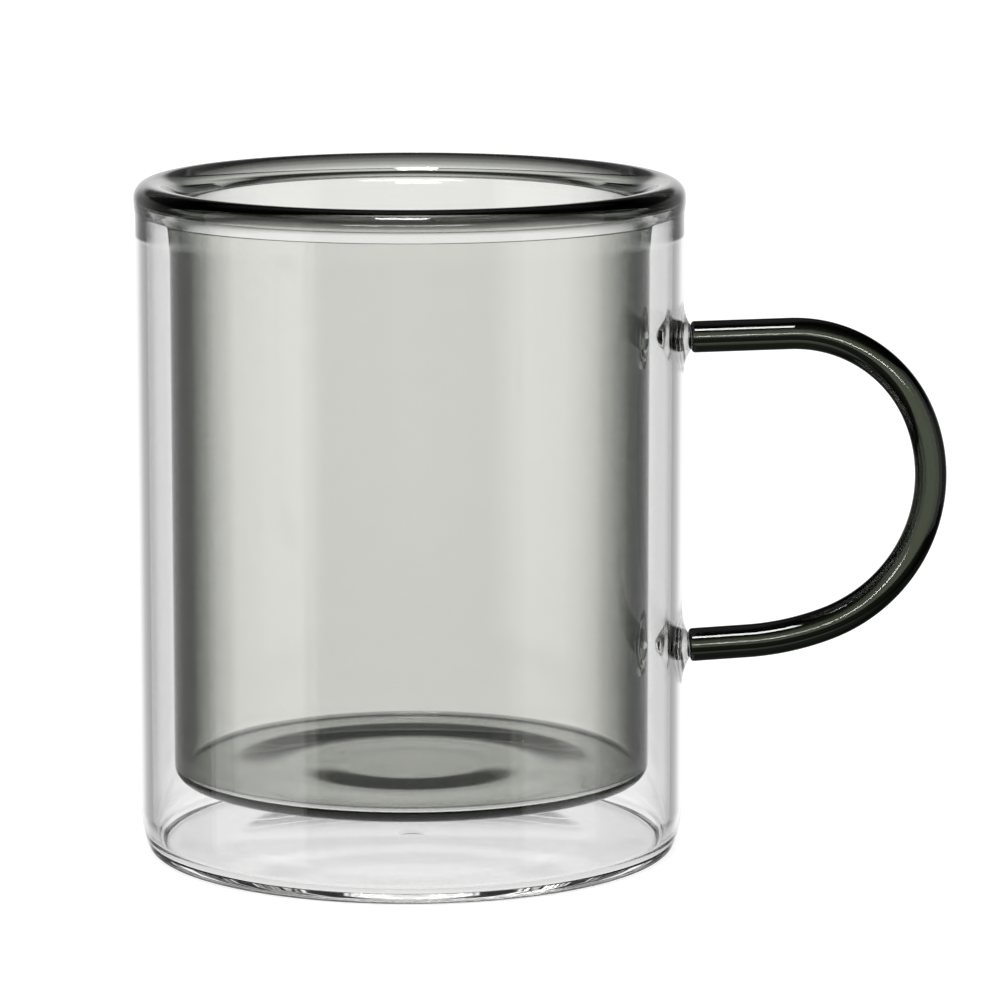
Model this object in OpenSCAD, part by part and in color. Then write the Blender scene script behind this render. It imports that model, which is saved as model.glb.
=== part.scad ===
// Double walled glass cup with a bent rod handle.
// A clear outer cup and a tinted inner cup are welded together under a rolled lip, with a sealed air
// gap between them. The handle is a bent tinted rod, welded to the outer wall through clear collars.
// Lengths are in millimetres. The origin is on the cup's axis at the table, and the handle points to +X.

/* [Cup] */
// Height from the table to the crest of the lip
cup_h = 105; // [95:1:120]
// Outside diameter of the clear outer wall
outer_d = 85; // [80:1:92]
// Air gap between the two walls
air_gap = 3.5; // [2.8:0.1:4.2]

/* [Outer shell] */
// Wall of the clear outer tube
outer_wall = 1.8; // [1.4:0.1:2.2]
// Thickness of the outer floor
outer_floor = 1.6; // [1.3:0.1:2.2]
// Long radius by which the wall turns in towards the foot
heel_r = 16.8; // [12:0.2:20]
// Height above the table at which the wall starts to turn in
heel_h = 6.7; // [5.5:0.1:8]
// Tight radius between the heel and the underside
foot_r = 1.5; // [1.2:0.1:2]
// Radius inside the foot, where the glass gathers
gap_foot_r = 2.2; // [1.6:0.1:2.6]
// Diameter of the shallow hollow under the floor, which leaves a ring to stand on
hollow_d = 56; // [50:1:66]
// Depth of that hollow at its middle
hollow_depth = 0.5; // [0.3:0.05:0.7]

/* [Inner cup] */
// Wall of the tinted inner cup
inner_wall = 1.5; // [1.2:0.1:1.8]
// Thickness of the inner cup's floor at its edge
inner_floor = 1.5; // [1.3:0.1:2]
// Height from the table to the underside of the inner cup
inner_z = 11.5; // [9:0.5:14]
// Radius round the underside of the inner cup
inner_corner_r = 2.4; // [2:0.1:3]
// Radius round the floor inside the inner cup
bore_corner_r = 2; // [1.5:0.1:3]
// Rise of the floor at its middle, where the tube was closed
floor_dome = 0.6; // [0.4:0.1:1]

/* [Lip] */
// Outer edge radius of the lip
lip_edge_r = 2.4; // [2:0.1:2.5]
// Depth of the tinted lip, from its crest to its weld on the clear wall
lip_h = 2.6; // [2.5:0.1:2.9]
// Depth of solid glass in the welded ring, from the crest to the top of the air gap
weld_h = 3.2; // [3:0.1:3.5]
// Depth from the crest to where the inner cup starts to flare out over the air gap
flare_h = 5.3; // [5:0.1:5.4]
// Depth from the crest to where the inside of the outer wall starts to draw in
neck_h = 6.1; // [5.8:0.1:6.5]
// Radius by which the inside of the outer wall draws in towards the weld
neck_r = 14; // [11:1:16]
// How far the lip and the weld stand proud of the outer wall
weld_swell = 0.2; // [0.1:0.05:0.3]
// Radius of the curve from the outer wall out to the weld
swell_r = 12; // [9:1:15]

/* [Handle] */
// Diameter of the tinted glass rod
rod_d = 5; // [4.5:0.1:6]
// Height of the upper root above the table
upper_root_z = 80.5; // [76:0.5:84]
// Length of the straight arm that leaves the upper root
arm_l = 15.5; // [12:0.5:18]
// Radius of the upper bend
upper_bend_r = 21; // [18:0.5:23]
// Radius of the long middle bend
middle_bend_r = 25; // [22:0.5:27]
// Radius of the slight bend in the lower arm
lower_bend_r = 43; // [36:1:46]
// Softened edge at the rod's ends
rod_end_r = 0.6; // [0.4:0.05:0.8]

/* [Collars] */
// Distance from the wall to the rod's ends
collar_h = 1.1; // [0.9:0.1:1.5]
// Radius of the upper collar where it spreads on to the wall
upper_spread_r = 5.6; // [5:0.1:6.5]
// Radius of the lower collar where it spreads on to the wall
lower_spread_r = 6.2; // [5:0.1:7]

/* [Vent] */
// Diameter of the vent in the outer floor, which a drop of glass closes
vent_d = 4; // [3:0.1:5]
// How far the drop bulges into the air gap
vent_bulge = 0.4; // [0.2:0.05:0.6]

/* [Hidden] */
$fn = 96;

// Radii, from the outside inwards
outer_r = outer_d / 2;
gap_r = outer_r - outer_wall;
inner_r = gap_r - air_gap;
bore_r = inner_r - inner_wall;
lip_r = outer_r + weld_swell;

// The lip's crest lies where the flare from the bore meets the outer edge radius
crest_r = lip_r - lip_edge_r;
flare_r = crest_r - bore_r;

// Levels, from the table up
gap_floor_z = outer_floor;
bore_floor_z = inner_z + inner_floor;
flare_z = cup_h - flare_r;
gap_top_z = cup_h - weld_h;
gap_spring_z = cup_h - flare_h;
neck_z = cup_h - neck_h;
weld_z = cup_h - lip_h;

// The inner cup's flare turns out over the gap in a quarter round. The outer wall draws in to meet it,
// and its edge there is the foot of the weld, which slopes up to the outside under the lip.
under_flare_r = gap_top_z - gap_spring_z;
neck_rise = gap_top_z - neck_z;
edge_r = gap_r - neck_r + sqrt(neck_r * neck_r - neck_rise * neck_rise);

// Rod and its softened end face
rod_r = rod_d / 2;
rod_face_r = rod_r - rod_end_r;
root_x = outer_r + collar_h;

// Angles in degrees: the rise of the upper arm, and how far each bend turns down and back
arm_rise = 2;
upper_turn = 69;
middle_turn = 92;
lower_turn = 17;

// Points along the rod's centre line in the XZ plane, each with the heading at which it is passed
function turned(point, heading, bend_r, turn) =
    point + bend_r * [sin(heading) - sin(heading - turn), cos(heading - turn) - cos(heading)];
upper_root = [root_x, upper_root_z];
upper_bend = upper_root + arm_l * [cos(arm_rise), sin(arm_rise)];
middle_bend = turned(upper_bend, arm_rise, upper_bend_r, upper_turn);
middle_heading = arm_rise - upper_turn;
lower_bend = turned(middle_bend, middle_heading, middle_bend_r, middle_turn);
lower_heading = middle_heading - middle_turn;
lower_arm = turned(lower_bend, lower_heading, lower_bend_r, lower_turn);
return_heading = lower_heading - lower_turn;
lower_rise = return_heading + 180;
lower_arm_l = (lower_arm[0] - root_x) / cos(lower_rise);
lower_root = [root_x, lower_arm[1] - lower_arm_l * sin(lower_rise)];

// Rings and sides of the rod and of the collars
end_steps = 4;
arm_steps = 3;
bend_step = 6;
rod_sides = 32;
collar_rings = 8;
back_rings = 3;
collar_sides = 40;

// Steps of the low domes
dome_steps = 12;

// Overrun of the cuts
cut = outer_wall;

// Preview colours
clear_glass = [0.86, 0.9, 0.9, 0.35];
smoke_glass = [0.36, 0.38, 0.36, 0.6];
rod_glass = [0.1, 0.14, 0.11];

// Half section of a solid tumbler: straight wall, long heel, tight foot and flat base
module tumbler_half(r, base_z, top_z, heel, heel_rise, foot) {
    heel_x = r - heel;
    heel_z = base_z + heel_rise;
    reach = heel - foot;
    fall = heel_rise - foot;
    foot_x = heel_x + sqrt(reach * reach - fall * fall);
    touch_z = heel_z - heel * fall / reach;
    translate([0, base_z]) square([foot_x, top_z - base_z]);
    translate([0, heel_z]) square([r, top_z - heel_z]);
    intersection() {
        translate([heel_x, heel_z]) circle(heel);
        translate([heel_x, touch_z]) square([heel, top_z - touch_z]);
    }
    translate([foot_x, base_z + foot]) circle(foot);
}

// Half section of a solid tumbler with one round corner
module round_half(r, base_z, top_z, corner) {
    translate([0, base_z]) square([r - corner, top_z - base_z]);
    translate([0, base_z + corner]) square([r, top_z - base_z - corner]);
    translate([r - corner, base_z + corner]) circle(corner);
}

// Half section of a low dome that rises from a level to its middle, with a foot below that level
module dome_half(half_w, level, rise, foot) {
    crown = [
        for (i = [0 : dome_steps])
        let (share = i / dome_steps)
        [half_w * (1 - share), level + rise * share * (2 - share)]
    ];
    polygon(concat([[0, level - foot], [half_w, level - foot]], crown));
}

// Everything inside the outer wall, which draws in to its edge at the top of the air gap
module gap_half() {
    tumbler_half(
        gap_r, gap_floor_z, neck_z,
        heel_r - outer_wall, heel_h - outer_floor, gap_foot_r
    );
    intersection() {
        translate([gap_r - neck_r, neck_z]) circle(neck_r);
        translate([0, neck_z - neck_rise]) square([gap_r, 2 * neck_rise]);
    }
}

// Everything above the sloping weld that joins the edge of the outer wall to the lip, up to a level
module weld_half(low_z, high_z) {
    polygon([
        [0, low_z], [inner_r, low_z], [edge_r, gap_top_z], [lip_r, weld_z],
        [crest_r, high_z], [0, high_z]
    ]);
}

// Air outside the inner cup, up to the quarter round under its flare
module under_flare_half() {
    foot_z = neck_z - under_flare_r;
    translate([inner_r, foot_z]) square([air_gap, gap_spring_z - foot_z]);
    translate([inner_r + under_flare_r, foot_z]) square([air_gap, gap_top_z - foot_z]);
    translate([inner_r + under_flare_r, gap_spring_z]) circle(under_flare_r);
}

// Everything inside the inner cup, opening out over the flare
module bore_half() {
    round_half(bore_r, bore_floor_z, cup_h + cut, bore_corner_r);
    difference() {
        translate([0, flare_z]) square([crest_r, flare_r + cut]);
        translate([crest_r, flare_z]) circle(flare_r);
    }
}

// The rolled lip, filled in to the axis, down to the weld on the outer wall
module lip_half() {
    translate([0, weld_z]) square([crest_r, lip_h]);
    translate([0, weld_z]) square([lip_r, lip_h - lip_edge_r]);
    intersection() {
        translate([crest_r, cup_h - lip_edge_r]) circle(lip_edge_r);
        translate([0, weld_z]) square([lip_r, lip_h]);
    }
}

// Clear outer cup, which swells out a little to the weld under the lip
module outer_shell() {
    color(clear_glass) difference() {
        rotate_extrude() difference() {
            intersection() {
                union() {
                    tumbler_half(outer_r, 0, cup_h, heel_r, heel_h, foot_r);
                    translate([lip_r - swell_r, weld_z]) circle(swell_r);
                }
                square([lip_r, weld_z]);
            }
            gap_half();
            weld_half(neck_z, cup_h);
            dome_half(hollow_d / 2, 0, hollow_depth, cut);
        }
        cylinder(d = vent_d, h = outer_floor + cut);
    }
}

// Tinted inner cup, with its flared and rolled lip and its slightly domed floor
module inner_cup() {
    color(smoke_glass) rotate_extrude() {
        difference() {
            union() {
                round_half(inner_r, inner_z, weld_z, inner_corner_r);
                weld_half(neck_z, cup_h - lip_edge_r);
                lip_half();
            }
            under_flare_half();
            bore_half();
        }
        dome_half(bore_r - 2 * bore_corner_r, bore_floor_z, floor_dome, inner_floor / 2);
    }
}

// Solid through a list of rings of points, closed at each end by a fan about a hub
module loft(rings, first_hub, last_hub) {
    sides = len(rings[0]);
    last = len(rings) - 1;
    function at(i, side) = i * sides + side % sides;
    hub = len(rings) * sides;
    skin = [
        for (i = [0 : last - 1], side = [0 : sides - 1])
        each [
            [at(i, side), at(i + 1, side), at(i, side + 1)],
            [at(i, side + 1), at(i + 1, side), at(i + 1, side + 1)]
        ]
    ];
    ends = [
        for (side = [0 : sides - 1])
        each [
            [hub, at(0, side), at(0, side + 1)],
            [hub + 1, at(last, side + 1), at(last, side)]
        ]
    ];
    polyhedron(
        points = concat([for (ring = rings) each ring], [first_hub, last_hub]),
        faces = concat(skin, ends)
    );
}

// Stations of the rod: a point of its centre line, the heading there and the radius
function end_stations(point, heading, turns) = [
    for (turn = turns)
    [
        point + rod_end_r * (1 - cos(turn)) * [cos(heading), sin(heading)],
        heading,
        rod_face_r + rod_end_r * sin(turn)
    ]
];
function bend_stations(point, heading, bend_r, turn) =
    let (steps = ceil(turn / bend_step))
    [
        for (i = [1 : steps])
        let (part_turn = turn * i / steps)
        [turned(point, heading, bend_r, part_turn), heading - part_turn, rod_r]
    ];

// Tinted rod, bent hot from the upper root round to the lower one
module handle() {
    end_turns = [for (i = [0 : end_steps]) i * 90 / end_steps];
    back_turns = [for (i = [0 : end_steps]) 90 - i * 90 / end_steps];
    arm_start = upper_root + rod_end_r * [cos(arm_rise), sin(arm_rise)];
    stations = concat(
        end_stations(upper_root, arm_rise, end_turns),
        [
            for (i = [1 : arm_steps])
            [arm_start + (upper_bend - arm_start) * i / arm_steps, arm_rise, rod_r]
        ],
        bend_stations(upper_bend, arm_rise, upper_bend_r, upper_turn),
        bend_stations(middle_bend, middle_heading, middle_bend_r, middle_turn),
        bend_stations(lower_bend, lower_heading, lower_bend_r, lower_turn),
        [
            for (station = end_stations(lower_root, lower_rise, back_turns))
            [station[0], return_heading, station[2]]
        ]
    );
    function ring(station) = [
        for (side = [0 : rod_sides - 1])
        let (
            around = side * 360 / rod_sides,
            across = -station[2] * sin(around),
            heading = station[1]
        )
        [
            station[0][0] - across * sin(heading),
            station[2] * cos(around),
            station[0][1] + across * cos(heading)
        ]
    ];
    color(rod_glass) loft(
        [for (station = stations) ring(station)],
        [upper_root[0], 0, upper_root[1]],
        [lower_root[0], 0, lower_root[1]]
    );
}

// Clear gather that spreads from a rod's end face on to the round wall.
// Each ring lies between the wall and the plane of the end face, on a hollow curve tangent to the wall.
module collar(root, rise, spread_r) {
    width = spread_r - rod_face_r;
    curve_r = (width * width + collar_h * collar_h) / (2 * collar_h);
    function wall_x(y) = sqrt(outer_r * outer_r - y * y);
    function face_x(z) = root[0] - z * tan(rise);
    function lift_share(r) =
        (curve_r - sqrt(curve_r * curve_r - pow(spread_r - r, 2))) / collar_h;
    function at(r, around, lift) =
        let (y = r * cos(around), z = r * sin(around))
        [wall_x(y) + lift * (face_x(z) - wall_x(y)), y, root[1] + z];
    function ring(r, lift) =
        [for (side = [0 : collar_sides - 1]) at(r, side * 360 / collar_sides, lift)];
    radii = [for (i = [0 : collar_rings]) rod_face_r + width * i / collar_rings];
    front = [for (r = radii) ring(r, lift_share(r))];
    back = [for (i = [1 : back_rings]) ring(spread_r * (1 - i / (back_rings + 1)), 0)];
    loft(concat(front, back), at(0, 0, 1), at(0, 0, 0));
}

module upper_collar() {
    color(clear_glass) collar(upper_root, arm_rise, upper_spread_r);
}

module lower_collar() {
    color(clear_glass) collar(lower_root, lower_rise, lower_spread_r);
}

// Drop of glass that closes the vent, flush below and round above
module vent_seal() {
    color(clear_glass) rotate_extrude()
        dome_half(vent_d / 2, outer_floor, vent_bulge, outer_floor - hollow_depth);
}

outer_shell();
inner_cup();
handle();
upper_collar();
lower_collar();
vent_seal();
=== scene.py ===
import math

import bmesh
import bpy
from mathutils import Euler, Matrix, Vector


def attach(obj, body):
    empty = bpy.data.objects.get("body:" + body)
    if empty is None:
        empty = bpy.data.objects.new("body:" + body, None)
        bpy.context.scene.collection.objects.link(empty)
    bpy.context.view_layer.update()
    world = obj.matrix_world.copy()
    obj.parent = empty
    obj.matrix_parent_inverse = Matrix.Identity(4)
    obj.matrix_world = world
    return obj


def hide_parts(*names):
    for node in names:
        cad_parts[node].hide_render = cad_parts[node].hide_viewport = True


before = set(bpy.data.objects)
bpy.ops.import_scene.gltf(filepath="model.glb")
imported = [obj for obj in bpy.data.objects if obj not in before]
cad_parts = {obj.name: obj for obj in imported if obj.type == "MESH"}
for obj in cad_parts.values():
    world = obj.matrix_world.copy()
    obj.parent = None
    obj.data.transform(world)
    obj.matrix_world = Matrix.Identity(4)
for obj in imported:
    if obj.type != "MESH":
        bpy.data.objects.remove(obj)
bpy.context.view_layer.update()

scene = bpy.context.scene
MM = 0.001

# The inner cup is a smoke tinted borosilicate tube. Its lower end is closed flat in the flame, which
# leaves a low boss and a shallow groove in the floor. Its upper end is flared and rolled out over the
# outer wall, and the back of the roll is welded to it.
cup_h = 105 * MM
inner_r = 37.2 * MM
bore_r = 35.7 * MM
air_gap = 3.5 * MM
inner_z = 11.5 * MM
floor_z = 13 * MM
boss_r = 10 * MM
groove_r = 19.3 * MM
floor_edge_r = 30.5 * MM
boss_top = 0.12 * MM
groove_top = -0.1 * MM
edge_top = 0.26 * MM
boss_rise = 0.26 * MM
groove_rise = 0.5 * MM
under_corner = 2.4 * MM
bore_corner = 0.9 * MM
crest_r = 40.3 * MM
flare_r = 4.6 * MM
lip_edge = 2.4 * MM
lip_r = 42.7 * MM
flare_z = cup_h - flare_r
weld_z = cup_h - 2.6 * MM
gap_top = cup_h - 3.2 * MM
gap_spring = cup_h - 5.3 * MM
under_flare = gap_top - gap_spring
neck_r = 14 * MM
neck_z = cup_h - 6.1 * MM
gap_peak_r = inner_r + air_gap - (neck_r - math.sqrt(neck_r**2 - (gap_top - neck_z) ** 2))
around = 320
wall_steps = 24
weld_steps = 6
boss_steps = 24
rim_steps = 32
flat_steps = 8
short_steps = 4
corner_steps = 16
flare_steps = 20
crest_steps = 28
bore_steps = 14
same_place = 1e-7
crease = 38
glass_ior = 1.47
smoke_colour = (0.36, 0.385, 0.315, 1)
smoke_density = 118
# Painted shade on the inner cup's edges, darker where its glass turns away from the eye.
smoke_face = (1, 1, 0.975, 1)
smoke_painted_shade = (0.12, 0.13, 0.12, 1)
smoke_turn = (0.36, 0.7)


def arc(centre, radius, first, last, steps):
    """Points on a round stretch of a half section, with angles in degrees from outwards towards up."""
    turns = [math.radians(first + (last - first) * i / steps) for i in range(steps + 1)]
    return [(centre[0] + radius * math.cos(t), centre[1] + radius * math.sin(t)) for t in turns]


def stretch(start, end, steps):
    """Evenly spaced points on a straight stretch of a half section."""
    return [
        (start[0] + (end[0] - start[0]) * i / steps, start[1] + (end[1] - start[1]) * i / steps)
        for i in range(steps + 1)
    ]


def wave(start, end, steps):
    """Points on a soft S between two places of a half section."""
    points = []
    for i in range(steps + 1):
        share = i / steps
        eased = (1 - math.cos(math.pi * share)) / 2
        points.append((start[0] + (end[0] - start[0]) * share, start[1] + (end[1] - start[1]) * eased))
    return points


def add_piece(name, bm, material, nodes):
    """Turns a bmesh into a smooth piece of the object that stands for its CAD nodes."""
    bmesh.ops.recalc_face_normals(bm, faces=bm.faces)
    mesh = bpy.data.meshes.new(name)
    bm.to_mesh(mesh)
    bm.free()
    mesh.shade_smooth()
    mesh.set_sharp_from_angle(angle=math.radians(crease))
    piece = bpy.data.objects.new(name, mesh)
    scene.collection.objects.link(piece)
    mesh.materials.append(material)
    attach(piece, "root")
    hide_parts(*nodes)


def loft(bm, rings, welded, closed=False):
    """Faces between rings of points. A ring of one point closes an end. Welded steps meet a piece."""
    layer = bm.faces.layers.float.new("weld")
    rows = [[bm.verts.new(p) for p in ring] for ring in rings]
    if closed:
        rows.append(rows[0])
    for low, high, weld in zip(rows, rows[1:], welded):
        sides = max(len(low), len(high))
        for i in range(sides):
            j = (i + 1) % sides
            if len(low) == 1:
                corners = [low[0], high[i], high[j]]
            elif len(high) == 1:
                corners = [low[i], low[j], high[0]]
            else:
                corners = [low[i], low[j], high[j], high[i]]
            bm.faces.new(corners)[layer] = weld


def revolve(bm, stretches, closed=False):
    """Turns a half section about the cup's axis. Each stretch is its points and whether it is welded."""
    points, welded = [], []
    for stretch_points, weld in stretches:
        if points and math.dist(points[-1], stretch_points[0]) < same_place:
            stretch_points = stretch_points[1:]
        welded += [weld] * len(stretch_points) if points else [weld] * (len(stretch_points) - 1)
        points += stretch_points
    if closed and math.dist(points[0], points[-1]) < same_place:
        points.pop()
    turns = [2 * math.pi * i / around for i in range(around)]
    rings = []
    for r, z in points:
        if r < same_place:
            rings.append([(0, 0, z)])
        else:
            rings.append([(r * math.cos(t), r * math.sin(t), z) for t in turns])
    loft(bm, rings, welded, closed)


def glass(name, colour=None, density=0.0):
    """Fire polished borosilicate glass. Its welded faces let light pass straight into the next piece."""
    material = bpy.data.materials.new(name)
    material.use_nodes = True
    nodes, links = material.node_tree.nodes, material.node_tree.links
    shader = nodes["Principled BSDF"]
    shader.inputs["Base Color"].default_value = (1, 1, 1, 1)
    shader.inputs["Roughness"].default_value = 0
    shader.inputs["IOR"].default_value = glass_ior
    shader.inputs["Transmission Weight"].default_value = 1
    weld = nodes.new("ShaderNodeAttribute")
    weld.attribute_name = "weld"
    bare = nodes.new("ShaderNodeMath")
    bare.operation = "SUBTRACT"
    bare.inputs[0].default_value = 1
    links.new(weld.outputs["Fac"], bare.inputs[1])
    links.new(bare.outputs[0], shader.inputs["Alpha"])
    if density:
        tint = nodes.new("ShaderNodeVolumeAbsorption")
        tint.inputs["Color"].default_value = colour
        tint.inputs["Density"].default_value = density
        links.new(tint.outputs[0], nodes["Material Output"].inputs["Volume"])
    return material


def paint_edge_shade(material, turn, edge, face=(1, 1, 1, 1)):
    """Paints shade into the colour where glass turns away from the eye, on top of the tint in its volume.
    """
    nodes, links = material.node_tree.nodes, material.node_tree.links
    facing = nodes.new("ShaderNodeLayerWeight")
    facing.inputs["Blend"].default_value = 0.5
    painted_shade_ramp = nodes.new("ShaderNodeValToRGB")
    for stop, position, colour in zip(painted_shade_ramp.color_ramp.elements, turn, (face, edge)):
        stop.position = position
        stop.color = colour
    links.new(facing.outputs["Facing"], painted_shade_ramp.inputs[0])
    links.new(painted_shade_ramp.outputs[0], nodes["Principled BSDF"].inputs["Base Color"])


smoke_glass = glass("smoke_glass", smoke_colour, smoke_density)
# The inner cup's edges get painted shade where they turn away from the eye.
paint_edge_shade(smoke_glass, smoke_turn, smoke_painted_shade, smoke_face)
under_boss = (boss_r, inner_z + boss_rise)
under_groove = (groove_r, inner_z + groove_rise)
under_edge = (floor_edge_r, inner_z)
boss = (boss_r, floor_z + boss_top)
groove = (groove_r, floor_z + groove_top)
floor_edge = (floor_edge_r, floor_z + edge_top)
corner_r = bore_r - bore_corner
corner_z = floor_edge[1] + bore_corner
bm = bmesh.new()
revolve(bm, [
    (stretch((0, under_boss[1]), under_boss, flat_steps), 0),
    (wave(under_boss, under_groove, boss_steps), 0),
    (wave(under_groove, under_edge, rim_steps), 0),
    (stretch(under_edge, (inner_r - under_corner, inner_z), weld_steps), 0),
    (arc((inner_r - under_corner, inner_z + under_corner), under_corner, -90, 0, corner_steps), 0),
    (stretch((inner_r, inner_z + under_corner), (inner_r, gap_spring), wall_steps), 0),
    (arc((inner_r + under_flare, gap_spring), under_flare, 180, 90, flare_steps), 0),
    (stretch((inner_r + under_flare, gap_top), (gap_peak_r, gap_top), short_steps), 0),
    (stretch((gap_peak_r, gap_top), (lip_r, weld_z), weld_steps), 1),
    (stretch((lip_r, weld_z), (lip_r, cup_h - lip_edge), 1), 0),
    (arc((crest_r, cup_h - lip_edge), lip_edge, 0, 90, flare_steps), 0),
    (arc((crest_r, flare_z), flare_r, 90, 180, crest_steps), 0),
    (stretch((bore_r, flare_z), (bore_r, corner_z), wall_steps), 0),
    (arc((corner_r, corner_z), bore_corner, 0, -90, bore_steps), 0),
    (stretch((corner_r, floor_edge[1]), floor_edge, short_steps), 0),
    (wave(floor_edge, groove, rim_steps), 0),
    (wave(groove, boss, boss_steps), 0),
    (stretch(boss, (0, boss[1]), flat_steps), 0),
])
add_piece("smoke_inner_cup", bm, smoke_glass, ["inner_cup"])

# The outer shell is a clear borosilicate tube, closed to a flat foot, that stands round the inner cup
# with an air gap. Its top is melted on to the back of the rolled lip, where it swells out a little.
# Behind each end of the handle the wall swells inwards, which is a guess at what a hot gather does to it.
outer_r = 42.5 * MM
gap_r = inner_r + air_gap
outer_floor = 1.6 * MM
heel_r = 16.8 * MM
heel_h = 6.7 * MM
foot_r = 1.5 * MM
gap_foot = 2.2 * MM
hollow_r = 28 * MM
hollow_depth = 0.5 * MM
hollow_steps = 16
foot_steps = 16
swell_steps = 8
neck_steps = 12
floor_steps = 12
vent_steps = 2
vent_r = 2 * MM
swell_r = 12 * MM
upper_root = (43.6 * MM, 80.5 * MM)
lower_root = (43.6 * MM, 31.764 * MM)
upper_spread = 5.6 * MM
lower_spread = 6.2 * MM
push_r = 4.6 * MM
push_in = 2.4 * MM
push_steps = 44
hair = 0.003 * MM


def foot_profile(r, base, heel, rise, foot, steps):
    """The tight foot and the long heel of a tumbler, from the flat base up to the wall."""
    reach, fall = heel - foot, rise - foot
    foot_x = r - heel + math.sqrt(reach * reach - fall * fall)
    lean = -math.degrees(math.asin(fall / reach))
    foot_arc = arc((foot_x, base + foot), foot, -90, lean, steps)
    heel_arc = arc((r - heel, base + rise), heel, lean, 0, steps)
    return foot_arc, heel_arc


clear_shell = glass("clear_shell_glass")
wall_t = outer_r - gap_r
foot, heel = foot_profile(outer_r, 0, heel_r, heel_h, foot_r, foot_steps)
gap_foot_arc, gap_heel = foot_profile(
    gap_r, outer_floor, heel_r - wall_t, heel_h - outer_floor, gap_foot, foot_steps
)
hollow = []
for i in range(hollow_steps + 1):
    r = vent_r + (hollow_r - vent_r) * i / hollow_steps
    hollow.append((r, hollow_depth * (1 - (r / hollow_r) ** 2)))
swell_turn = -math.degrees(math.acos((outer_r - lip_r + swell_r) / swell_r))
swell = arc((lip_r - swell_r, weld_z), swell_r, swell_turn, 0, swell_steps)
lip_foot = (lip_r, weld_z - hair)
gap_peak = (gap_peak_r, gap_top - hair)
neck_turn = math.degrees(math.asin((gap_top - neck_z) / neck_r))
neck = arc((gap_r - neck_r, neck_z), neck_r, neck_turn, 0, neck_steps)
neck[0] = gap_peak
upper_push = (gap_r, upper_root[1] + push_r), (gap_r, upper_root[1] - push_r)
lower_push = (gap_r, lower_root[1] + push_r), (gap_r, lower_root[1] - push_r)
bm = bmesh.new()
revolve(bm, [
    (hollow, 0),
    (stretch((hollow_r, 0), foot[0], short_steps), 0),
    (foot, 0),
    (heel, 0),
    (stretch(heel[-1], swell[0], wall_steps), 0),
    (swell[:-1] + [lip_foot], 0),
    (stretch(lip_foot, gap_peak, weld_steps), 1),
    (neck, 0),
    (stretch((gap_r, neck_z), upper_push[0], short_steps), 0),
    (stretch(*upper_push, push_steps), 0),
    (stretch(upper_push[1], lower_push[0], flat_steps), 0),
    (stretch(*lower_push, push_steps), 0),
    (stretch(lower_push[1], gap_heel[-1], weld_steps), 0),
    (gap_heel[::-1], 0),
    (gap_foot_arc[::-1], 0),
    (stretch(gap_foot_arc[0], (vent_r, outer_floor), floor_steps), 0),
    (stretch((vent_r, outer_floor), hollow[0], vent_steps), 1),
], closed=True)
for vert in bm.verts:
    x, y, z = vert.co
    if x > 0 and abs(math.hypot(x, y) - gap_r) < same_place:
        for root_x, root_z in (upper_root, lower_root):
            off = math.hypot(y, z - root_z)
            if off < push_r:
                push = push_in * (1 + math.cos(math.pi * off / push_r)) / 2
                vert.co.x = x * (1 - push / gap_r)
                vert.co.y = y * (1 - push / gap_r)
add_piece("clear_outer_shell", bm, clear_shell, ["outer_shell"])


def maths(tree, operation, *values):
    """One math node whose inputs are numbers or sockets."""
    node = tree.nodes.new("ShaderNodeMath")
    node.operation = operation
    for socket, value in zip(node.inputs, values):
        if isinstance(value, (int, float)):
            socket.default_value = value
        else:
            tree.links.new(value, socket)
    return node.outputs[0]


def length(tree, a, b):
    """The length of the arrow with these two sides."""
    squares = maths(tree, "MULTIPLY", a, a), maths(tree, "MULTIPLY", b, b)
    return maths(tree, "SQRT", maths(tree, "ADD", *squares))


# Where a gather is melted on, the wall's outer face is welded too.
tree = clear_shell.node_tree
place = tree.nodes.new("ShaderNodeTexCoord")
axes = tree.nodes.new("ShaderNodeSeparateXYZ")
tree.links.new(place.outputs["Object"], axes.inputs[0])
x, y, z = axes.outputs
outer_face = maths(tree, "GREATER_THAN", length(tree, x, y), (gap_r + outer_r) / 2)
handle_side = maths(tree, "GREATER_THAN", x, 0)
spots = 0
for (root_x, root_z), spread in ((upper_root, upper_spread), (lower_root, lower_spread)):
    rise = maths(tree, "SUBTRACT", z, root_z)
    spots = maths(tree, "ADD", spots, maths(tree, "LESS_THAN", length(tree, rise, y), spread))
patch = maths(tree, "MULTIPLY", maths(tree, "MULTIPLY", outer_face, handle_side), spots)
alpha = tree.nodes["Principled BSDF"].inputs["Alpha"]
bare = alpha.links[0].from_socket
tree.links.new(maths(tree, "MULTIPLY", bare, maths(tree, "SUBTRACT", 1, patch)), alpha)

# A drop of clear glass closes the vent in the middle of the outer floor, after the last weld. It lies
# flush below, in the shallow hollow, and bulges a little into the air gap.
seal_r = vent_r - hair
vent_bulge = 0.1 * MM
bulge_steps = 12
clear_glass = glass("clear_glass")
bulge = []
for i in range(bulge_steps + 1):
    share = 1 - i / bulge_steps
    bulge.append((seal_r * share, outer_floor + vent_bulge * (1 - share**2)))
bm = bmesh.new()
revolve(bm, [
    (stretch((0, hollow_depth), (seal_r, hollow_depth), short_steps), 0),
    (stretch((seal_r, hollow_depth), (seal_r, outer_floor), vent_steps), 1),
    (bulge, 0),
])
add_piece("clear_vent_seal", bm, clear_glass, ["vent_seal"])

# Each end of the handle stands on a gather of clear glass that is melted on to the round wall. Its
# hollow side spreads from the rod's end face and runs out tangent to the wall.
collar_h = 1.1 * MM
stem_r = 1.9 * MM
upper_lean = 2
lower_lean = 4
collar_sides = 96
side_steps = 28
back_steps = 6
face_steps = 4


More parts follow.
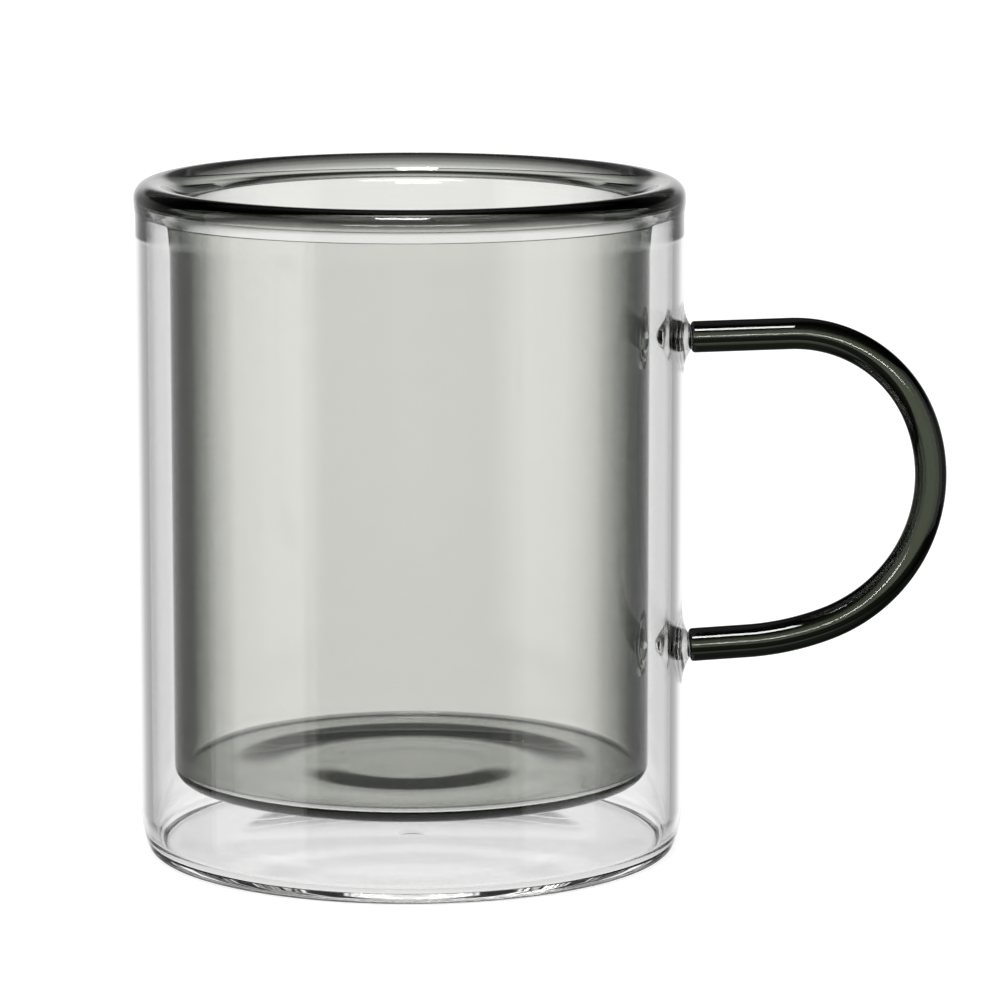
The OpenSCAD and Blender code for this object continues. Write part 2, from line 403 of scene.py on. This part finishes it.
def collar(name, node, root, lean, spread):
    """A gather between the wall and the end face of the rod."""
    root_x, root_z = root
    width = spread - stem_r
    curve = (width * width + collar_h * collar_h) / (2 * collar_h)

    def ring(r, lift):
        """A ring round the gather, lifted by a share of the way from the wall to the rod's end face."""
        points = []
        for i in range(collar_sides):
            turn = 2 * math.pi * i / collar_sides
            across, up = r * math.cos(turn), r * math.sin(turn)
            wall = math.sqrt((outer_r + hair) ** 2 - across * across)
            face = root_x - hair - up * math.tan(math.radians(lean))
            points.append((wall + lift * (face - wall), across, root_z + up))
        return points

    side = []
    for i in range(side_steps + 1):
        r = stem_r + width * i / side_steps
        side.append(ring(r, (curve - math.sqrt(curve * curve - (spread - r) ** 2)) / collar_h))
    back = [ring(spread * (1 - i / back_steps), 0) for i in range(1, back_steps)]
    face = [ring(stem_r * i / face_steps, 1) for i in range(1, face_steps)]
    face_hub = [(root_x - hair, 0, root_z)]
    wall_hub = [(outer_r + hair, 0, root_z)]
    bm = bmesh.new()
    loft(
        bm,
        [face_hub] + face + side + back + [wall_hub],
        [1] * (len(face) + 1) + [0] * (len(side) - 1) + [1] * (len(back) + 1),
    )
    add_piece(name, bm, clear_glass, [node])


collar("clear_upper_collar", "upper_collar", upper_root, upper_lean, upper_spread)
collar("clear_lower_collar", "lower_collar", lower_root, lower_lean, lower_spread)

# The handle is a solid rod of dense smoke green glass, bent hot into a D in three bends. Its ends are
# softly rounded, and each end face is melted on to its collar. The rod is a little fuller low down. Its
# upper side is painted darker by its slope, in place of the dark surroundings that a real rod shows there.
rod_r = 2.47 * MM
low_rod_r = 2.62 * MM
fuller_at = 0.66
fuller_rate = 14
end_r = 0.6 * MM
end_steps = 8
arm = 15.5 * MM
bends = ((21 * MM, 69), (25 * MM, 92), (43 * MM, 17))
rod_step = 0.8 * MM
rod_sides = 64
rod_colour = (0.257, 0.292, 0.195, 1)
rod_density = 730
# Painted shade on the rod's edges, darker where its glass turns away from the eye.
rod_painted_shade = (0.02, 0.025, 0.02, 1)
rod_turn = (0.02, 0.2)
shade_colour = (0.012, 0.014, 0.012, 1)
shade_turn = (0.24, 0.42)


def rod_spine():
    """Points and headings along the rod's centre line, about one step apart."""
    point, heading = Vector(upper_root), math.radians(upper_lean)
    spine = [(point.copy(), heading)]

    def walk(reach, bend):
        nonlocal point, heading
        count = max(2, round(reach / rod_step))
        for _ in range(count):
            turn = -reach / count / bend if bend else 0.0
            middle = heading + turn / 2
            point = point + Vector((math.cos(middle), math.sin(middle))) * reach / count
            heading += turn
            spine.append((point.copy(), heading))

    walk(arm, 0)
    for bend, degrees in bends:
        walk(bend * math.radians(degrees), bend)
    walk((point[0] - lower_root[0]) / math.cos(math.radians(lower_lean)), 0)
    return spine


spine = rod_spine()
lengths = [0.0]
for (a, _), (b, _) in zip(spine, spine[1:]):
    lengths.append(lengths[-1] + (b - a).length)
whole = lengths[-1]


def at_length(s):
    """The centre line's point and heading at a length along it."""
    for i in range(1, len(spine)):
        if lengths[i] >= s - same_place or i == len(spine) - 1:
            share = (s - lengths[i - 1]) / (lengths[i] - lengths[i - 1])
            point = spine[i - 1][0].lerp(spine[i][0], share)
            return point, spine[i - 1][1] + (spine[i][1] - spine[i - 1][1]) * share


def rod_radius(s):
    """The rod's radius at a length along it, with its softened ends."""
    fuller = 1 / (1 + math.exp(-(s / whole - fuller_at) * fuller_rate))
    full = rod_r + (low_rod_r - rod_r) * fuller
    depth = min(s, whole - s)
    if depth < end_r:
        full -= end_r - math.sqrt(max(0.0, end_r**2 - (end_r - depth) ** 2))
    return full


ends = [end_r * (1 - math.cos(math.pi / 2 * i / end_steps)) for i in range(end_steps + 1)]
count = round((whole - 2 * end_r) / rod_step)
places = ends + [end_r + (whole - 2 * end_r) * i / count for i in range(1, count)]
places += [whole - s for s in ends[::-1]]
rings = []
for s in places:
    point, heading = at_length(s)
    r = rod_radius(s)
    ring = []
    for i in range(rod_sides):
        turn = 2 * math.pi * i / rod_sides
        out = r * math.sin(turn)
        x, z = point[0] - out * math.sin(heading), point[1] + out * math.cos(heading)
        ring.append((x, r * math.cos(turn), z))
    rings.append(ring)
rod_glass = glass("rod_glass", rod_colour, rod_density)
# The rod's edges get painted shade where they turn away from the eye.
paint_edge_shade(rod_glass, rod_turn, rod_painted_shade)
tree = rod_glass.node_tree
# Painted shade: the rod's upper side is made darker by its slope.
upward = tree.nodes.new("ShaderNodeAttribute")
upward.attribute_name = "upward"
shade = tree.nodes.new("ShaderNodeValToRGB")
for stop, position, colour in zip(shade.color_ramp.elements, shade_turn, ((1, 1, 1, 1), shade_colour)):
    stop.position = position
    stop.color = colour
tree.links.new(upward.outputs["Fac"], shade.inputs[0])
shaded = tree.nodes.new("ShaderNodeVectorMath")
shaded.operation = "MULTIPLY"
base_colour = tree.nodes["Principled BSDF"].inputs["Base Color"]
tree.links.new(base_colour.links[0].from_socket, shaded.inputs[0])
tree.links.new(shade.outputs[0], shaded.inputs[1])
tree.links.new(shaded.outputs[0], base_colour)
bm = bmesh.new()
upward_layer = bm.verts.layers.float.new("upward")
first, last = spine[0][0], spine[-1][0]
loft(
    bm,
    [[(first[0], 0, first[1])]] + rings + [[(last[0], 0, last[1])]],
    [1] + [0] * (len(rings) - 1) + [1],
)
bm.normal_update()
for vert in bm.verts:
    vert[upward_layer] = vert.normal.z
add_piece("rod_handle", bm, rod_glass, ["handle"])

# The camera stands where the photograph was taken from, a little above the rim, with a long lens that
# looks down on the cup's middle height.
lens_length = 194.65
film_width = 36
view_pitch = math.radians(9.709)
view_reach = 844.2 * MM
view_x = 13.94 * MM
view_z = 54.79 * MM
far_end = 20
lens = bpy.data.cameras.new("camera")
lens.lens = lens_length
lens.sensor_width = film_width
lens.clip_end = far_end
camera = bpy.data.objects.new("camera", lens)
camera.location = (
    view_x,
    -view_reach * math.cos(view_pitch),
    view_z + view_reach * math.sin(view_pitch),
)
camera.rotation_euler = Euler((math.pi / 2 - view_pitch, 0, 0))
scene.collection.objects.link(camera)
scene.camera = camera

# The cup stands on a pale table that runs out into a white backdrop. Through the glass, only the part
# of the table right under the cup is seen, as a painted glow brightest in its middle; further off there is
# the backdrop.
table_drop = 0.1 * MM
table_half = 6
paper_colour = (0.35, 0.35, 0.35, 1)
paper_glow = 0.78
pool_glow = 1.2
bright_r = 26 * MM
even_r = 30 * MM
even_level = 0.77
under_cup = 44 * MM
under_level = 0.6
under_soft = 12 * MM


def ramp(tree, value, stops):
    """A level that follows a value through chosen stops, with smooth steps between them."""
    total = stops[0][1]
    for (low, before), (high, after) in zip(stops, stops[1:]):
        node = tree.nodes.new("ShaderNodeMapRange")
        node.interpolation_type = "SMOOTHSTEP"
        tree.links.new(value, node.inputs["Value"])
        node.inputs["From Min"].default_value = low
        node.inputs["From Max"].default_value = high
        node.inputs["To Min"].default_value = 0
        node.inputs["To Max"].default_value = after - before
        total = maths(tree, "ADD", total, node.outputs["Result"])
    return total


bm = bmesh.new()
bmesh.ops.create_grid(bm, x_segments=1, y_segments=1, size=table_half)
bmesh.ops.translate(bm, verts=bm.verts, vec=(0, 0, -table_drop))
mesh = bpy.data.meshes.new("table")
bm.to_mesh(mesh)
bm.free()
table = bpy.data.objects.new("table", mesh)
scene.collection.objects.link(table)
paper = bpy.data.materials.new("table_paper")
paper.use_nodes = True
mesh.materials.append(paper)
tree = paper.node_tree
tree.nodes.clear()
out = tree.nodes.new("ShaderNodeOutputMaterial")
matt = tree.nodes.new("ShaderNodeBsdfDiffuse")
matt.inputs["Color"].default_value = paper_colour
glow = tree.nodes.new("ShaderNodeEmission")
glow.inputs["Strength"].default_value = paper_glow
both = tree.nodes.new("ShaderNodeAddShader")
tree.links.new(matt.outputs[0], both.inputs[0])
tree.links.new(glow.outputs[0], both.inputs[1])
clear = tree.nodes.new("ShaderNodeBsdfTransparent")
# A painted pool of light: for rays through the glass, the table under the cup glows, fading outwards.
painted_pool = tree.nodes.new("ShaderNodeEmission")
painted_pool.inputs["Strength"].default_value = pool_glow
for light in (glow, painted_pool):
    light.inputs["Color"].default_value = (1, 1, 1, 1)
place = tree.nodes.new("ShaderNodeNewGeometry")
axes = tree.nodes.new("ShaderNodeSeparateXYZ")
tree.links.new(place.outputs["Position"], axes.inputs[0])
away = length(tree, axes.outputs[0], axes.outputs[1])
pool_fade = ramp(
    tree, away,
    ((bright_r, 1), (even_r, even_level), (under_cup, under_level), (under_cup + under_soft, 0)),
)
light_path = tree.nodes.new("ShaderNodeLightPath")
seen_near = maths(tree, "MULTIPLY", pool_fade, light_path.outputs["Is Transmission Ray"])
beneath = tree.nodes.new("ShaderNodeMixShader")
tree.links.new(seen_near, beneath.inputs[0])
tree.links.new(clear.outputs[0], beneath.inputs[1])
tree.links.new(painted_pool.outputs[0], beneath.inputs[2])
choice = tree.nodes.new("ShaderNodeMixShader")
tree.links.new(light_path.outputs["Is Camera Ray"], choice.inputs[0])
tree.links.new(beneath.outputs[0], choice.inputs[1])
tree.links.new(both.outputs[0], choice.inputs[2])
tree.links.new(choice.outputs[0], out.inputs["Surface"])

# The room is like a white tent of eight panels with dimmer seams, but no real tent gives these levels. A
# level depends on the direction, on how many faces of glass the light has crossed and on whether it was
# mirrored, and all were set against the photograph. In the tables of stops, each stop is an angle in
# degrees and the level there.
panel = 45
seam = ((3, 0.5), (10, 1))
world = bpy.data.worlds.new("studio")
scene.world = world
world.use_nodes = True
tree = world.node_tree
tree.nodes.clear()
out = tree.nodes.new("ShaderNodeOutputWorld")
back = tree.nodes.new("ShaderNodeBackground")
back.inputs["Color"].default_value = (1, 1, 1, 1)
tree.links.new(back.outputs[0], out.inputs["Surface"])
light_path = tree.nodes.new("ShaderNodeLightPath")
where = tree.nodes.new("ShaderNodeTexCoord")
axes = tree.nodes.new("ShaderNodeSeparateXYZ")
tree.links.new(where.outputs["Generated"], axes.inputs[0])
x, y, z = axes.outputs
height = maths(tree, "MULTIPLY", maths(tree, "ARCSINE", z), math.degrees(1))
turn = maths(tree, "MULTIPLY", maths(tree, "ARCTAN2", x, y), math.degrees(1))
aside = maths(tree, "ABSOLUTE", turn)
within = maths(tree, "MODULO", maths(tree, "ADD", turn, 360), panel)
from_seam = maths(tree, "ABSOLUTE", maths(tree, "SUBTRACT", within, panel / 2))
panels = ramp(tree, from_seam, seam)


def crossed_under(faces):
    """1 for light that has crossed fewer than this many faces of glass, otherwise 0."""
    return maths(tree, "LESS_THAN", light_path.outputs["Transmission Depth"], faces - 0.5)


def inverse(level):
    """What is left of full light once a level is taken from it."""
    return maths(tree, "SUBTRACT", 1, level)


def product(*levels):
    """Several levels multiplied together."""
    total = levels[0]
    for level in levels[1:]:
        total = maths(tree, "MULTIPLY", total, level)
    return total


def either(choice, one, other):
    """The first level where the choice is 1, and the other where it is 0."""
    return maths(tree, "ADD", product(choice, one), product(inverse(choice), other))


# Rays through one wall or the lip cross few faces, and rays through the whole cup cross many.
outside = crossed_under(1)
few = crossed_under(6)
front_few = ((-60, 0.05), (-44, 0.12), (-34, 0.3), (-27, 0.55), (-20, 0.95), (-8, 1))
front_many = ((-60, 0.02), (-44, 0.02), (-31, 0.07), (-22, 0.31), (-17.5, 0.5), (-15.5, 0.9), (-8, 1))
sides = ((-60, 0.75), (-20, 0.7), (-15.5, 0.9), (-8, 1))
above_few = ((25, 1), (45, 0.2))
above_many = ((2, 1), (13, 0.55), (23, 0.2), (34, 0.03))
side_panel = ((52, 1), (60, 0.1), (80, 0.1), (88, 1))
horizon = ((-5, 0), (-3, 0.9), (7, 0.9), (9.5, 0))
through = product(
    either(
        ramp(tree, aside, ((40, 1), (60, 0))),
        either(few, ramp(tree, height, front_few), ramp(tree, height, front_many)),
        ramp(tree, height, sides),
    ),
    either(few, ramp(tree, height, above_few), ramp(tree, height, above_many)),
    panels,
    ramp(tree, aside, side_panel),
    inverse(product(crossed_under(4), ramp(tree, height, horizon))),
)

# Mirrored inside the glass: narrow white fronts give the walls and the liner their dark edges, and the
# crest of the lip sees the dark of the room. The bottom corners catch light from high on both sides.
towards_camera = ((50, 1), (80, 0.12))
overhead = ((45, 0), (62, 1))
wall_front = ((8, 1), (30, 0.38), (70, 0.3))
liner_front = ((8, 1), (18, 0.45), (28, 0.12), (36, 0.03))
slope_low = ((-24, 0), (-21, 0.9), (-15, 0.9), (-13, 0))
slope_aside = ((18, 0), (26, 1))
below = ((-6.8, 1), (-5.4, 0))
crest_tall = ((-6.6, 0), (-5, 1), (14, 1), (18, 0))
crest_wide = ((42, 0.97), (55, 0.7))
inner_few = (
    (-60, 0.1), (-20, 0.3), (-15, 1), (20, 1), (26, 0.5), (31, 0.03), (40, 0.04), (55, 0.5), (65, 0.9),
)
inner_many = ((-60, 0.1), (-20, 0.3), (-15, 1), (12.9, 1), (15, 0.25), (27, 0.03))
corner_tall = ((14, 0), (19, 1))
corner_wide = ((36, 0), (42, 1))
corner_level = 0.72
near_side = maths(tree, "MAXIMUM", ramp(tree, aside, towards_camera), ramp(tree, height, overhead))
slope = product(ramp(tree, height, slope_low), ramp(tree, aside, slope_aside))
wall_wide = product(ramp(tree, aside, wall_front), inverse(slope))
low_wide = either(crossed_under(5), wall_wide, ramp(tree, aside, liner_front))
twice_or_more = inverse(crossed_under(2))
crest_dark = product(few, twice_or_more, ramp(tree, height, crest_tall), ramp(tree, aside, crest_wide))
inner = product(
    near_side,
    either(ramp(tree, height, below), low_wide, inverse(crest_dark)),
    either(few, ramp(tree, height, inner_few), ramp(tree, height, inner_many)),
)
corners = product(few, twice_or_more, ramp(tree, height, corner_tall), ramp(tree, aside, corner_wide))
inner = either(corners, maths(tree, "MAXIMUM", inner, corner_level), inner)

# The first face of the glass mirrors a dim room with a white front, and one bright strip of light
# behind the camera.
outer_wide = ((12, 1), (30, 0.4), (60, 0.1))
outer_tall = ((-60, 0.1), (-20, 0.3), (-15, 1), (10, 1), (16, 0.15), (26, 0.08), (38, 0), (50, 0.2))
strip_level = 14
strip_wide = ((150, 0), (160, 1))
strip_tall = ((5, 0), (6.5, 1), (10, 1), (11.5, 0))
outer = product(ramp(tree, aside, outer_wide), ramp(tree, height, outer_tall))
strip = product(strip_level, ramp(tree, aside, strip_wide), ramp(tree, height, strip_tall))
mirror = either(outside, maths(tree, "ADD", strip, outer), inner)
mirrored = maths(tree, "GREATER_THAN", light_path.outputs["Glossy Depth"], 0.5)
plain = maths(tree, "MAXIMUM", light_path.outputs["Is Camera Ray"], light_path.outputs["Is Diffuse Ray"])
level = either(plain, 1, either(mirrored, mirror, through))
tree.links.new(level, back.inputs["Strength"])

# Two tall soft boxes stand left and right of the camera, and a small one hangs high above it. Each has
# its turn and height in degrees, its size in metres and its radiance.
box_reach = 1.1
for name, box_turn, box_height, size, radiance in (
    ("left_box", -112.5, 5, (0.98, 1.2), 0.65),
    ("right_box", 112.5, 5, (0.77, 1.2), 0.45),
    ("top_box", 184, 59, (0.3, 0.24), 24.0),
):
    lamp = bpy.data.lights.new(name, "AREA")
    lamp.shape = "RECTANGLE"
    lamp.size, lamp.size_y = size
    lamp.energy = radiance * math.pi * size[0] * size[1]
    box = bpy.data.objects.new(name, lamp)
    aim = Vector((
        math.sin(math.radians(box_turn)) * math.cos(math.radians(box_height)),
        math.cos(math.radians(box_turn)) * math.cos(math.radians(box_height)),
        math.sin(math.radians(box_height)),
    ))
    box.location = aim * box_reach + Vector((0, 0, cup_h / 2))
    box.rotation_euler = aim.to_track_quat("Z", "Y").to_euler()
    scene.collection.objects.link(box)

# Light may cross and mirror in the walls of the cup many times before it leaves them.
scene.cycles.max_bounces = 40
scene.cycles.transmission_bounces = 40
scene.cycles.glossy_bounces = 24
scene.cycles.transparent_max_bounces = 32
scene.view_settings.view_transform = "Standard"
